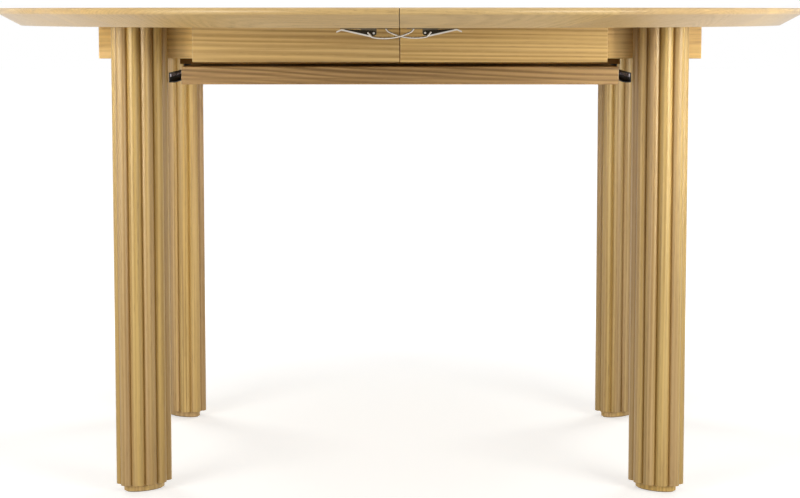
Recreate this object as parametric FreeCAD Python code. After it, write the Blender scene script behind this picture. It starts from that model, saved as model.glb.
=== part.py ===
"""Round oak table that extends: two half tops on fluted legs slide apart on steel channels."""
import FreeCAD, Part
import math
import os

V = FreeCAD.Vector
X_AXIS = V(1, 0, 0)
Y_AXIS = V(0, 1, 0)
Z_AXIS = V(0, 0, 1)
ORIGIN = V(0, 0, 0)

# Table top, in millimetres
TABLE_HEIGHT = 740.0
TOP_RADIUS = 650.0
TOP_THICKNESS = 27.0
BEVEL_RUN = 35.0          # width of the bevel under the rim
NOSE_HEIGHT = 9.2         # height of the rounded rim above the bevel
NOSE_DEPTH = 3.5          # how far the rim's upper round reaches in
NOSE_TIP_SHARE = 0.55     # the rim's widest point, down the nose
SEAM_GAP = 1.0
TRAVEL = 250.0            # how far each half slides out

# Legs, feet and glides
LEG_X = 395.0
LEG_Y = 260.0
LEG_LONG = 89.0           # oval section, across its long axis at the rib crests
LEG_SHORT = 61.0
RIB_COUNT = 10
RIB_DEPTH = 6.5
FOOT_LONG = 66.0
FOOT_SHORT = 38.0
FOOT_HEIGHT = 10.0
GLIDE_HEIGHT = 2.0
GLIDE_INSET = 3.0

# Aprons and leg rails
APRON_INSET = 250.0       # outer face, in from the rim
APRON_LENGTH = 299.0
APRON_HEIGHT = 51.0
APRON_THICKNESS = 20.0
RAIL_SEAT = 28.0          # rail's outer face, inward from the leg's axis
RAIL_HEIGHT = 50.0
RAIL_THICKNESS = 22.0
RAIL_OVERHANG = 66.0      # how far the rail runs past the leg's axis
RAIL_SEAM_GAP = 10.0      # between the rails of the two halves
EDGE_ROUND = 1.2          # eased edge of every wooden board

# Leg bolts
BOLT_RADIUS = 4.0
BOLT_HEAD_RADIUS = 6.5
BOLT_HEAD_HEIGHT = 5.3
BOLT_BITE = 30.0          # length inside the leg
BOLT_EDGE = 14.0          # from the rail's edges
FASTENER_CLEARANCE = 0.05

# Extension slides: a lipped steel channel with a bar of each half inside
CHANNEL_LENGTH = 680.0
CHANNEL_WIDTH = 36.0
CHANNEL_HEIGHT = 36.0
CHANNEL_WALL = 2.5
CHANNEL_SLOT = 14.0
CHANNEL_DROP = 23.0       # from the top's underside to the channel
CHANNEL_RAIL_GAP = 5.0
BAR_FLANGE = 12.0         # height of the bar's wide foot
SLIDE_CLEARANCE = 0.5
NECK_CLEARANCE = 1.0
SLIDE_SCREW_RADIUS = 2.2
SLIDE_SCREW_BITE = 15.0
SLIDE_SCREW_COUNT = 3

# Beams that join the channels
CROSS_BEAM_WIDTH = 40.0
CROSS_BEAM_HEIGHT = 20.0
CROSS_BEAM_INSET = 33.0   # from the leaf's end to the beam's middle
BEAM_LIFT = 2.0           # above the channel's bottom
GEAR_BEAM_WIDTH = 40.0
GEAR_BEAM_HEIGHT = 6.0

# Equaliser gear
GEAR_MODULE = 2.0
GEAR_TEETH = 20
GEAR_THICKNESS = 10.0
GEAR_DROP = 10.0          # from the top's underside to the gear
GEAR_BACKLASH = 0.4
PRESSURE_ANGLE = 20.0
DEDENDUM_RATIO = 1.25     # root depth of a tooth, in modules
FLANK_POINTS = 6
GEAR_PIN_RADIUS = 5.0
GEAR_COLLAR_RADIUS = 8.0
GEAR_COLLAR_GAP = 0.3
GEAR_PIN_PROUD = 2.0
RUNNING_CLEARANCE = 0.05
RACK_BACK = 11.5          # solid width behind the teeth
RACK_SPARE = 15.0         # toothed length past the travel
RACK_HEIGHT = 18.0
RACK_START = 300.0        # fixed end, from the seam
RACK_PAD_GAP = 20.0       # fixing pad's end, from the seam

# Stored leaf, its slides, runners and hangers
LEAF_DEPTH = 500.0
LEAF_THICKNESS = 27.0
LEAF_GAP = 3.0            # under the channels
LEG_CLEARANCE = 0.8
HANGER_THICKNESS = 1.5
HANGER_WIDTH = 100.0
HANGER_PLATE = 2.0
HANGER_SEAT = 6.0         # how far the hanger laps the runner's web
RUNNER_DEPTH = 9.5
RUNNER_HEIGHT = 15.0
RUNNER_WALL = 1.2
RUNNER_LIFT = 3.0         # above the leaf's underside
RUNNER_SETBACK = 1.0      # behind the leaf's front edge
RUNNER_MOUTH_GAP = 9.4    # between the leaf's end and the runner
SLIDE_STRIP_HEIGHT = 4.5  # bright strip along the runner's web
SLIDE_STRIP_THICKNESS = 2.0
SLIDE_BLOCK_LENGTH = 200.0  # block between the strip and the leaf's end

# Dowels in the seam
DOWEL_RADIUS = 5.0
DOWEL_BITE = 20.0
DOWEL_CLEARANCE = 0.3
DOWEL_SPACING = 420.0

# Toggle latches under the top, at the seam
LATCH_INSET_LEFT = 150.0  # middle of the left latch, in from the rim
LATCH_INSET_RIGHT = 190.0
LATCH_START = 32.0        # base plate's inner end, from the seam
LATCH_LENGTH = 50.0
LATCH_WIDTH = 24.0
LATCH_SHEET = 2.0
PIVOT_SETBACK = 3.6       # lever pivot, from the base's inner end
PIVOT_DROP = 8.0          # lever pivot, below the top
PIVOT_RADIUS = 1.5
PIN_PROUD = 0.4           # pin's ends, past the lever's cheeks
EAR_LENGTH = 24.0
EAR_SHOULDER = 1.0        # ear's corner, below the lever pivot
EAR_GAP = 1.0             # between the ears and the lever's cheeks
LEVER_WIDTH = 20.0
LEVER_SHEET = 2.0
KNUCKLE_RADIUS = 3.4      # rounded end of the lever's cheeks
HEEL_SETBACK = 3.5        # strip's inner end, outward from the lever pivot
HEEL_DROP = 5.6           # strip's underside there, below the pivot
LEVER_REACH = 44.5        # from the pivot to the end of the strip
LEVER_TIP_DROP = 4.5      # strip's underside at its end, below the top
CHEEK_SETBACK = 4.0       # cheeks' end, inward from the strip's end
LIP_LENGTH = 7.0          # finger lip, past the strip's end
LIP_DROP = 2.8
BAIL_SETBACK = 7.8        # bail pivot, outward from the lever pivot
BAIL_LIFT = 0.8           # bail pivot above the lever pivot, so that the closed latch holds itself
WIRE_RADIUS = 1.25
BAIL_GAP = 0.4            # between the bail's arms and the lever's cheeks
KNEE_SETBACK = 2.2        # knee of the bail's arm, outward from the lever pivot
KNEE_DROP = 5.4           # knee, below the lever pivot
BAIL_BEND = 21.0          # bail's lowest point, from the seam
BAIL_SAG = 15.0           # bail's lowest point, below the top
HOOK_START = 16.4         # foot of the bail's upturned end, past the seam
HOOK_START_DROP = 5.9     # that foot, below the top
BAIL_REACH = 19.0         # bail's end, past the seam
BAIL_TIP_DROP = 2.6
BAIL_END_WIDTH = 8.8      # between the arms at the upturned end
KEEPER_LENGTH = 24.0
KEEPER_START = 10.0
KEEPER_PRONG = 14.0
KEEPER_SLOT = 16.0
LATCH_SCREW_RADIUS = 1.6
LATCH_SCREW_HEAD = 3.0
LATCH_SCREW_BITE = 12.0
LATCH_SCREW_EDGE = 10.0   # from the base plate's outer end
LATCH_SCREW_PITCH = 20.0

# Heights and places that follow from the sizes above
under_z = TABLE_HEIGHT - TOP_THICKNESS
foot_top_z = GLIDE_HEIGHT + FOOT_HEIGHT
channel_top_z = under_z - CHANNEL_DROP
channel_z = channel_top_z - CHANNEL_HEIGHT
leaf_top_z = channel_z - LEAF_GAP
leaf_z = leaf_top_z - LEAF_THICKNESS
runner_z = leaf_z + RUNNER_LIFT
beam_z = channel_z + BEAM_LIFT
rail_y = LEG_Y - RAIL_SEAT
rail_inner_y = rail_y - RAIL_THICKNESS
rail_end_x = LEG_X + RAIL_OVERHANG
channel_y = rail_inner_y - CHANNEL_RAIL_GAP - CHANNEL_WIDTH / 2
channel_inner_y = channel_y - CHANNEL_WIDTH / 2
leg_angle = math.atan2(LEG_Y, LEG_X)
leg_half_x = math.hypot(LEG_LONG / 2 * math.cos(leg_angle), LEG_SHORT / 2 * math.sin(leg_angle))
hanger_x = LEG_X - leg_half_x - LEG_CLEARANCE
runner_back_x = hanger_x - HANGER_THICKNESS
runner_mouth_x = runner_back_x - RUNNER_DEPTH
leaf_half = runner_mouth_x - RUNNER_MOUTH_GAP
cross_beam_x = leaf_half - CROSS_BEAM_INSET
gear_z = under_z - GEAR_DROP - GEAR_THICKNESS
gear_radius = GEAR_MODULE * GEAR_TEETH / 2
apron_y = TOP_RADIUS - APRON_INSET
left_latch_y = LATCH_INSET_LEFT - TOP_RADIUS
right_latch_y = LATCH_INSET_RIGHT - TOP_RADIUS
SIDES = {"left": -1, "right": 1}
ENDS = {"front": -1, "back": 1}

nodes = {}


def box(x, y, z):
    """Block between the two limits given for each axis."""
    corner = V(min(x), min(y), min(z))
    return Part.makeBox(max(x) - min(x), max(y) - min(y), max(z) - min(z), corner)


def board(x, y, z):
    """Wooden board with eased edges."""
    block = box(x, y, z)
    thinnest = min(max(x) - min(x), max(y) - min(y), max(z) - min(z))
    return block.makeFillet(min(EDGE_ROUND, thinnest / 4), block.Edges)


def rod(radius, start, end):
    """Round bar from one point to another."""
    along = end - start
    return Part.makeCylinder(radius, along.Length, start, along)


def group(shapes):
    """Separate solids kept together in one node."""
    return Part.makeCompound(shapes)


def to_side(shape, sign):
    """Shape modelled at +X, mirrored to -X where asked."""
    return shape if sign > 0 else shape.mirror(ORIGIN, X_AXIS)


def to_end(shape, sign):
    """Shape modelled at the front, mirrored to the back where asked."""
    return shape if sign < 0 else shape.mirror(ORIGIN, Y_AXIS)


def prism_xz(points, y_low, y_high):
    """Polygon in the XZ plane, extruded along Y."""
    corners = [V(x, y_low, z) for x, z in points]
    face = Part.Face(Part.makePolygon(corners + corners[:1]))
    return face.extrude(V(0, y_high - y_low, 0))


def prism_yz(points, x_low, x_high):
    """Polygon in the YZ plane, extruded along X."""
    corners = [V(x_low, y, z) for y, z in points]
    face = Part.Face(Part.makePolygon(corners + corners[:1]))
    return face.extrude(V(x_high - x_low, 0, 0))


def oval_point(long_size, short_size, angle):
    return V(long_size / 2 * math.cos(angle), short_size / 2 * math.sin(angle), 0)


def place_at_leg(shape):
    """Moves a shape from the origin to the front right leg, long axis pointing at the table's middle."""
    shape.rotate(ORIGIN, Z_AXIS, -math.degrees(leg_angle))
    shape.translate(V(LEG_X, -LEG_Y, 0))
    return shape


def oval_block(long_size, short_size, z_low, z_high):
    oval = Part.Ellipse(V(0, 0, z_low), long_size / 2, short_size / 2)
    face = Part.Face(Part.Wire(oval.toShape()))
    return face.extrude(V(0, 0, z_high - z_low))


def even_angles(count, steps=2000):
    """Parameter angles that divide the leg's oval into stretches of equal length."""
    points = [oval_point(LEG_LONG, LEG_SHORT, 2 * math.pi * i / steps) for i in range(steps + 1)]
    lengths = [0.0]
    for i in range(steps):
        lengths.append(lengths[-1] + (points[i + 1] - points[i]).Length)
    angles = []
    i = 0
    for k in range(count):
        target = lengths[-1] * k / count
        while lengths[i + 1] < target:
            i += 1
        share = (target - lengths[i]) / (lengths[i + 1] - lengths[i])
        angles.append(2 * math.pi * (i + share) / steps)
    return angles


def fluted_leg():
    """Oval column of convex ribs, with a groove at each end of its long axis."""
    marks = even_angles(2 * RIB_COUNT)
    grooves = [oval_point(LEG_LONG - 2 * RIB_DEPTH, LEG_SHORT - 2 * RIB_DEPTH, a) for a in marks[0::2]]
    crests = [oval_point(LEG_LONG, LEG_SHORT, a) for a in marks[1::2]]
    arcs = []
    for i in range(RIB_COUNT):
        arcs.append(Part.Arc(grooves[i], crests[i], grooves[(i + 1) % RIB_COUNT]).toShape())
    face = Part.Face(Part.Wire(arcs))
    leg = face.extrude(V(0, 0, under_z - foot_top_z))
    leg.translate(V(0, 0, foot_top_z))
    return place_at_leg(leg)


# Holes that fasteners need, by the piece they go through
slide_screw_pitch = CHANNEL_LENGTH / 2 / SLIDE_SCREW_COUNT
slide_screw_xs = [slide_screw_pitch * (i + 0.5) for i in range(SLIDE_SCREW_COUNT)]
leg_bolt_zs = [under_z - BOLT_EDGE, under_z - RAIL_HEIGHT + BOLT_EDGE]
dowel_ys = [-DOWEL_SPACING, 0.0, DOWEL_SPACING]
dowel_z = under_z + TOP_THICKNESS / 2
bar_foot_z = channel_top_z - CHANNEL_WALL - SLIDE_CLEARANCE - BAR_FLANGE
outer_screw_x = LATCH_START + LATCH_LENGTH - LATCH_SCREW_EDGE
base_screw_xs = [outer_screw_x - LATCH_SCREW_PITCH, outer_screw_x]
keeper_screw_ys = [-LATCH_WIDTH / 4, LATCH_WIDTH / 4]
keeper_screw_x = KEEPER_START + (KEEPER_PRONG + KEEPER_LENGTH) / 2


def slide_screw(x, y, grow=0.0):
    start = V(x, y, bar_foot_z)
    return rod(SLIDE_SCREW_RADIUS + grow, start, V(x, y, under_z + SLIDE_SCREW_BITE))


def latch_screw(x, y, grow=0.0):
    """Countersunk screw, flush with the sheet under the top."""
    head = rod(LATCH_SCREW_HEAD + grow, V(x, y, under_z - LATCH_SHEET), V(x, y, under_z))
    shank = rod(LATCH_SCREW_RADIUS + grow, V(x, y, under_z), V(x, y, under_z + LATCH_SCREW_BITE))
    return head.fuse(shank).removeSplitter()


def base_screws(y, grow=0.0):
    return [latch_screw(x, y, grow) for x in base_screw_xs]


def keeper_screws(y, grow=0.0):
    return [latch_screw(keeper_screw_x, y + dy, grow) for dy in keeper_screw_ys]


# Half tops, each turned from one rim profile
nose_low = V(TOP_RADIUS - NOSE_DEPTH / 2, 0, TABLE_HEIGHT - NOSE_HEIGHT)
nose_tip = V(TOP_RADIUS, 0, TABLE_HEIGHT - NOSE_HEIGHT * NOSE_TIP_SHARE)
nose_high = V(TOP_RADIUS - NOSE_DEPTH, 0, TABLE_HEIGHT)
bevel_foot = V(TOP_RADIUS - BEVEL_RUN, 0, under_z)
rim = [
    Part.LineSegment(V(0, 0, under_z), bevel_foot).toShape(),
    Part.LineSegment(bevel_foot, nose_low).toShape(),
    Part.Arc(nose_low, nose_tip, nose_high).toShape(),
    Part.LineSegment(nose_high, V(0, 0, TABLE_HEIGHT)).toShape(),
    Part.LineSegment(V(0, 0, TABLE_HEIGHT), V(0, 0, under_z)).toShape(),
]
rim_face = Part.Face(Part.Wire(rim))
rim_face.rotate(ORIGIN, Z_AXIS, -90)
half_disc = rim_face.revolve(ORIGIN, Z_AXIS, 180)
seam_cut = box((-TOP_RADIUS, SEAM_GAP / 2), (-2 * TOP_RADIUS, 2 * TOP_RADIUS), (0, 2 * TABLE_HEIGHT))
half_disc = half_disc.cut(seam_cut)
latch_places = {"left": (left_latch_y, right_latch_y), "right": (right_latch_y, left_latch_y)}
dowel_grow = {"left": FASTENER_CLEARANCE, "right": DOWEL_CLEARANCE}

for side, sign in SIDES.items():
    base_y, keeper_y = latch_places[side]
    holes = [slide_screw(x, y, FASTENER_CLEARANCE) for x in slide_screw_xs for y in (-channel_y, channel_y)]
    holes += base_screws(base_y, FASTENER_CLEARANCE)
    holes += keeper_screws(keeper_y, FASTENER_CLEARANCE)
    for y in dowel_ys:
        depth = V(DOWEL_BITE + dowel_grow[side], y, dowel_z)
        holes.append(rod(DOWEL_RADIUS + dowel_grow[side], V(0, y, dowel_z), depth))
    nodes["top_" + side] = to_side(half_disc.cut(holes), sign)

dowels = []
for y in dowel_ys:
    dowels.append(rod(DOWEL_RADIUS, V(-DOWEL_BITE, y, dowel_z), V(DOWEL_BITE, y, dowel_z)))
nodes["seam_dowels"] = group(dowels)

# Aprons, rails and legs of each half
apron_space_y = (-apron_y, -apron_y + APRON_THICKNESS)
apron = board((SEAM_GAP / 2, APRON_LENGTH), apron_space_y, (under_z - APRON_HEIGHT, under_z))
rail_space_z = (under_z - RAIL_HEIGHT, under_z)
rail = board((RAIL_SEAM_GAP / 2, rail_end_x), (-rail_y, -rail_inner_y), rail_space_z)
rail_notch = box((0, 2 * rail_end_x), (-rail_y, 0), rail_space_z)
end_rail = board((rail_end_x - RAIL_THICKNESS, rail_end_x), (-rail_inner_y, rail_inner_y), rail_space_z)


def bolt_shank(z, radius):
    """Shank of a bolt through the front rail into the front right leg."""
    return rod(radius, V(LEG_X, -rail_y - BOLT_BITE, z), V(LEG_X, -rail_inner_y, z))


def leg_bolt(z):
    """Leg bolt with its head against the rail's inner face."""
    head_end = V(LEG_X, -rail_inner_y + BOLT_HEAD_HEIGHT, z)
    head = rod(BOLT_HEAD_RADIUS, V(LEG_X, -rail_inner_y, z), head_end)
    return bolt_shank(z, BOLT_RADIUS).fuse(head).removeSplitter()


bolt_holes = [bolt_shank(z, BOLT_RADIUS + FASTENER_CLEARANCE) for z in leg_bolt_zs]
rail = rail.cut(bolt_holes)
leg = fluted_leg().cut([rail_notch] + bolt_holes)
foot = place_at_leg(oval_block(FOOT_LONG, FOOT_SHORT, GLIDE_HEIGHT, foot_top_z))
glide = place_at_leg(oval_block(FOOT_LONG - 2 * GLIDE_INSET, FOOT_SHORT - 2 * GLIDE_INSET, 0, GLIDE_HEIGHT))

for side, sign in SIDES.items():
    for end, end_sign in ENDS.items():
        nodes["apron_%s_%s" % (end, side)] = to_side(to_end(apron, end_sign), sign)
        nodes["rail_%s_%s" % (end, side)] = to_side(to_end(rail, end_sign), sign)
        nodes["leg_%s_%s" % (end, side)] = to_side(to_end(leg, end_sign), sign)
        nodes["foot_%s_%s" % (end, side)] = to_side(to_end(foot, end_sign), sign)
    nodes["end_rail_" + side] = to_side(end_rail, sign)
    nodes["glides_" + side] = group([to_side(to_end(glide, s), sign) for s in ENDS.values()])
    bolts = [to_side(to_end(leg_bolt(z), s), sign) for z in leg_bolt_zs for s in ENDS.values()]
    nodes["leg_bolts_" + side] = group(bolts)

# Extension slides
half_width = CHANNEL_WIDTH / 2
inner = half_width - CHANNEL_WALL
lip_z = channel_top_z - CHANNEL_WALL
channel_section = [
    (-half_width, channel_z), (half_width, channel_z), (half_width, channel_top_z),
    (CHANNEL_SLOT / 2, channel_top_z), (CHANNEL_SLOT / 2, lip_z), (inner, lip_z),
    (inner, channel_z + CHANNEL_WALL), (-inner, channel_z + CHANNEL_WALL), (-inner, lip_z),
    (-CHANNEL_SLOT / 2, lip_z), (-CHANNEL_SLOT / 2, channel_top_z), (-half_width, channel_top_z),
]
bar_half = inner - SLIDE_CLEARANCE
neck_half = CHANNEL_SLOT / 2 - NECK_CLEARANCE
bar_top_z = lip_z - SLIDE_CLEARANCE
bar_section = [
    (-bar_half, bar_foot_z), (bar_half, bar_foot_z), (bar_half, bar_top_z), (neck_half, bar_top_z),
    (neck_half, under_z), (-neck_half, under_z), (-neck_half, bar_top_z), (-bar_half, bar_top_z),
]
for end, end_sign in ENDS.items():
    y_middle = end_sign * channel_y
    section = [(y + y_middle, z) for y, z in channel_section]
    nodes["channel_" + end] = prism_yz(section, -CHANNEL_LENGTH / 2, CHANNEL_LENGTH / 2)
    section = [(y + y_middle, z) for y, z in bar_section]
    bar = prism_yz(section, SEAM_GAP, CHANNEL_LENGTH / 2)
    bar = bar.cut([slide_screw(x, y_middle, FASTENER_CLEARANCE) for x in slide_screw_xs])
    for side, sign in SIDES.items():
        nodes["slide_bar_%s_%s" % (end, side)] = to_side(bar, sign)
for side, sign in SIDES.items():
    screws = [slide_screw(x, y) for x in slide_screw_xs for y in (-channel_y, channel_y)]
    nodes["slide_screws_" + side] = group([to_side(s, sign) for s in screws])

# Beams between the channels, and the hangers under the outer two
beam_span = (-channel_inner_y, channel_inner_y)
cross_beam_inner_x = cross_beam_x - CROSS_BEAM_WIDTH / 2
cross_beam_outer_x = cross_beam_x + CROSS_BEAM_WIDTH / 2
cross_beam = box((cross_beam_inner_x, cross_beam_outer_x), beam_span, (beam_z, beam_z + CROSS_BEAM_HEIGHT))
hanger_span = (-HANGER_WIDTH / 2, HANGER_WIDTH / 2)
hanger_foot_z = runner_z + RUNNER_HEIGHT - HANGER_SEAT
hanger_plate = box((cross_beam_inner_x, hanger_x), hanger_span, (beam_z - HANGER_PLATE, beam_z))
hanger_drop = box((runner_back_x, hanger_x), hanger_span, (hanger_foot_z, beam_z))
hanger = hanger_plate.fuse(hanger_drop).removeSplitter()

# Runners: steel channels open towards the leaf
runner_top_z = runner_z + RUNNER_HEIGHT
web_x = runner_back_x - RUNNER_WALL
runner_section = [
    (runner_mouth_x, runner_z), (runner_back_x, runner_z), (runner_back_x, runner_top_z),
    (runner_mouth_x, runner_top_z), (runner_mouth_x, runner_top_z - RUNNER_WALL),
    (web_x, runner_top_z - RUNNER_WALL), (web_x, runner_z + RUNNER_WALL),
    (runner_mouth_x, runner_z + RUNNER_WALL),
]
leaf_front_y = -LEAF_DEPTH / 2
runner_front_y = leaf_front_y + RUNNER_SETBACK
runner_span = (runner_front_y, -runner_front_y)
runner = prism_xz(runner_section, *runner_span)

# Bright slides in the runners, each a strip on a block fixed to the leaf's end
strip_outer_x = web_x - SLIDE_CLEARANCE
strip_inner_x = strip_outer_x - SLIDE_STRIP_THICKNESS
slide_low_z = runner_z + RUNNER_WALL + SLIDE_CLEARANCE
slide_top_z = runner_top_z - RUNNER_WALL - SLIDE_CLEARANCE
strip_zs = (slide_top_z - SLIDE_STRIP_HEIGHT, slide_top_z)
slide_strip = box((strip_inner_x, strip_outer_x), runner_span, strip_zs)
block_span = (-SLIDE_BLOCK_LENGTH / 2, SLIDE_BLOCK_LENGTH / 2)
slide_block = box((leaf_half, strip_inner_x), block_span, (slide_low_z, slide_top_z))
leaf_slide = slide_strip.fuse(slide_block).removeSplitter()
for side, sign in SIDES.items():
    nodes["cross_beam_" + side] = to_side(cross_beam, sign)
    nodes["hanger_" + side] = to_side(hanger, sign)
    nodes["runner_" + side] = to_side(runner, sign)
    nodes["leaf_slide_" + side] = to_side(leaf_slide, sign)
nodes["leaf"] = board((-leaf_half, leaf_half), (leaf_front_y, -leaf_front_y), (leaf_z, leaf_top_z))

# Equaliser: a pinion between two racks keeps the halves level with each other
gear_beam = box((-GEAR_BEAM_WIDTH / 2, GEAR_BEAM_WIDTH / 2), beam_span, (beam_z, beam_z + GEAR_BEAM_HEIGHT))
gear_beam_top_z = beam_z + GEAR_BEAM_HEIGHT
gear_top_z = gear_z + GEAR_THICKNESS
pin = rod(GEAR_PIN_RADIUS, V(0, 0, gear_beam_top_z), V(0, 0, gear_top_z + GEAR_PIN_PROUD))
collar = rod(GEAR_COLLAR_RADIUS, V(0, 0, gear_beam_top_z), V(0, 0, gear_z - GEAR_COLLAR_GAP))
nodes["gear_beam"] = gear_beam
nodes["gear_pin"] = pin.fuse(collar).removeSplitter()

pitch = math.pi * GEAR_MODULE
lean = math.tan(math.radians(PRESSURE_ANGLE))
addendum = GEAR_MODULE
dedendum = DEDENDUM_RATIO * GEAR_MODULE
half_tooth = (pitch / 2 - GEAR_BACKLASH / 2) / 2


def polar(radius, angle):
    return V(radius * math.cos(angle), radius * math.sin(angle), 0)


def involute_point(base_radius, radius, start_angle, hand):
    """Point of a tooth flank at a radius, turned from the tooth's middle by its start angle."""
    roll = math.sqrt(max((radius / base_radius) ** 2 - 1, 0.0))
    return polar(radius, hand * (start_angle - (roll - math.atan(roll))))


def curve(points):
    """Smooth edge through the points."""
    spline = Part.BSplineCurve()
    spline.interpolate(points)
    return spline.toShape()


def tooth_edges():
    """Outline of one gear tooth that points along +X, and of the root beside it."""
    base_radius = gear_radius * math.cos(math.radians(PRESSURE_ANGLE))
    root_radius = gear_radius - dedendum
    tip_radius = gear_radius + addendum
    tooth_angle = 2 * math.pi / GEAR_TEETH
    flank_angle = half_tooth / gear_radius + lean - math.radians(PRESSURE_ANGLE)
    flank_step = (tip_radius - base_radius) / (FLANK_POINTS - 1)
    radii = [base_radius + flank_step * i for i in range(FLANK_POINTS)]
    rising = [involute_point(base_radius, r, flank_angle, -1) for r in radii]
    falling = [involute_point(base_radius, r, flank_angle, 1) for r in reversed(radii)]
    root_in = polar(root_radius, -flank_angle)
    root_out = polar(root_radius, flank_angle)
    root_next = polar(root_radius, tooth_angle - flank_angle)
    return [
        Part.LineSegment(root_in, rising[0]).toShape(),
        curve(rising),
        Part.Arc(rising[-1], polar(tip_radius, 0), falling[0]).toShape(),
        curve(falling),
        Part.LineSegment(falling[-1], root_out).toShape(),
        Part.Arc(root_out, polar(root_radius, tooth_angle / 2), root_next).toShape(),
    ]


def pinion_shape():
    """Spur gear with a tooth pointing along -Y, between the racks."""
    edges = []
    for i in range(GEAR_TEETH):
        for edge in tooth_edges():
            edge.rotate(ORIGIN, Z_AXIS, 360 / GEAR_TEETH * i - 90)
            edges.append(edge)
    gear = Part.Face(Part.Wire(edges)).extrude(V(0, 0, GEAR_THICKNESS))
    bore = rod(GEAR_PIN_RADIUS + RUNNING_CLEARANCE, ORIGIN, V(0, 0, GEAR_THICKNESS))
    gear = gear.cut(bore)
    gear.translate(V(0, 0, gear_z))
    return gear


def rack_shape():
    """Left half's rack: runs past the seam at the pinion's front, teeth towards +Y."""
    tip_y = -gear_radius + addendum
    root_y = -gear_radius - dedendum
    back_y = root_y - RACK_BACK
    root_half = half_tooth + dedendum * lean
    tip_half = half_tooth - addendum * lean
    far_x = TRAVEL + RACK_SPARE
    tooth_count = int((far_x + RACK_SPARE) / pitch)
    outline = [(-RACK_START, back_y), (far_x, back_y), (far_x, root_y)]
    for i in reversed(range(tooth_count)):
        middle = (i + 0.5) * pitch - pitch * int(RACK_SPARE / pitch)
        outline.append((middle + root_half, root_y))
        outline.append((middle + tip_half, tip_y))
        outline.append((middle - tip_half, tip_y))
        outline.append((middle - root_half, root_y))
    outline.append((-RACK_START, root_y))
    corners = [V(x, y, gear_z) for x, y in outline]
    face = Part.Face(Part.makePolygon(corners + corners[:1]))
    bar = face.extrude(V(0, 0, RACK_HEIGHT))
    pad = box((-RACK_START, -RACK_PAD_GAP), (back_y, root_y), (gear_z + RACK_HEIGHT, under_z))
    return bar.fuse(pad).removeSplitter()


nodes["pinion"] = pinion_shape()
left_rack = rack_shape()
nodes["rack_left"] = left_rack
right_rack = left_rack.copy()
right_rack.rotate(ORIGIN, Z_AXIS, 180)
nodes["rack_right"] = right_rack

# Toggle latches, modelled on the right half at Y = 0 and set in place by side
pivot = V(LATCH_START + PIVOT_SETBACK, 0, under_z - PIVOT_DROP)
bail_pivot = pivot + V(BAIL_SETBACK, 0, BAIL_LIFT)
half_base = LATCH_WIDTH / 2
half_lever = LEVER_WIDTH / 2
cheek_inner_y = half_lever - LEVER_SHEET
ear_y = cheek_inner_y - EAR_GAP
arm_y = half_lever + BAIL_GAP + WIRE_RADIUS
pin_half = half_lever + PIN_PROUD
latch_sheet_z = (under_z - LATCH_SHEET, under_z)


def cross_rod(radius, middle, y_low, y_high):
    """Round bar along Y through a pivot."""
    return rod(radius, V(middle.x, y_low, middle.z), V(middle.x, y_high, middle.z))


def latch_base():
    """Plate under the top with two ears that hold the lever's pin."""
    plate = box((LATCH_START, LATCH_START + LATCH_LENGTH), (-half_base, half_base), latch_sheet_z)
    ear_profile = [
        (LATCH_START, under_z - LATCH_SHEET), (LATCH_START, pivot.z),
        (pivot.x + PIVOT_SETBACK, pivot.z - EAR_SHOULDER),
        (LATCH_START + EAR_LENGTH, under_z - LATCH_SHEET),
    ]
    parts = []
    for y in (-ear_y, ear_y - LATCH_SHEET):
        ear = prism_xz(ear_profile, y, y + LATCH_SHEET)
        knuckle = cross_rod(PIVOT_SETBACK, pivot, y, y + LATCH_SHEET)
        parts += [ear, knuckle]
    holes = [cross_rod(PIVOT_RADIUS + FASTENER_CLEARANCE, pivot, -half_base, half_base)]
    holes += base_screws(0, FASTENER_CLEARANCE)
    return plate.fuse(parts).cut(holes).removeSplitter()


def latch_lever():
    """Folded handle: a strip between two cheeks, which turn on the base's pin and hold the bail's ends."""
    heel = V(pivot.x + HEEL_SETBACK, 0, pivot.z - HEEL_DROP)
    tip = V(pivot.x + LEVER_REACH, 0, under_z - LEVER_TIP_DROP)
    lip = tip + V(LIP_LENGTH, 0, -LIP_DROP)
    cheek_end_x = tip.x - CHEEK_SETBACK
    strip_profile = [
        (heel.x, heel.z), (tip.x, tip.z), (lip.x, lip.z), (lip.x, lip.z + LEVER_SHEET),
        (tip.x, tip.z + LEVER_SHEET), (heel.x, heel.z + LEVER_SHEET),
    ]
    cheek_profile = [
        (pivot.x, pivot.z + KNUCKLE_RADIUS), (cheek_end_x, tip.z + LEVER_SHEET), (cheek_end_x, tip.z),
        (heel.x, heel.z), (pivot.x - KNUCKLE_RADIUS, pivot.z),
    ]
    strip = prism_xz(strip_profile, -half_lever, half_lever)
    parts = []
    for y in (-half_lever, cheek_inner_y):
        cheek = prism_xz(cheek_profile, y, y + LEVER_SHEET)
        knuckle = cross_rod(KNUCKLE_RADIUS, pivot, y, y + LEVER_SHEET)
        parts += [cheek, knuckle]
    pin_bore = cross_rod(PIVOT_RADIUS + RUNNING_CLEARANCE, pivot, -half_lever, half_lever)
    bail_bore = cross_rod(WIRE_RADIUS + RUNNING_CLEARANCE, bail_pivot, -half_lever, half_lever)
    return strip.fuse(parts).cut([pin_bore, bail_bore]).removeSplitter()


def wire_arc(start, through, end):
    """Round wire bent to an arc through three points."""
    edge = Part.Arc(start, through, end).toShape()
    ring = Part.makeCircle(WIRE_RADIUS, start, edge.tangentAt(edge.FirstParameter))
    return Part.Wire(edge).makePipeShell([Part.Wire(ring)], True, True)


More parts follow.
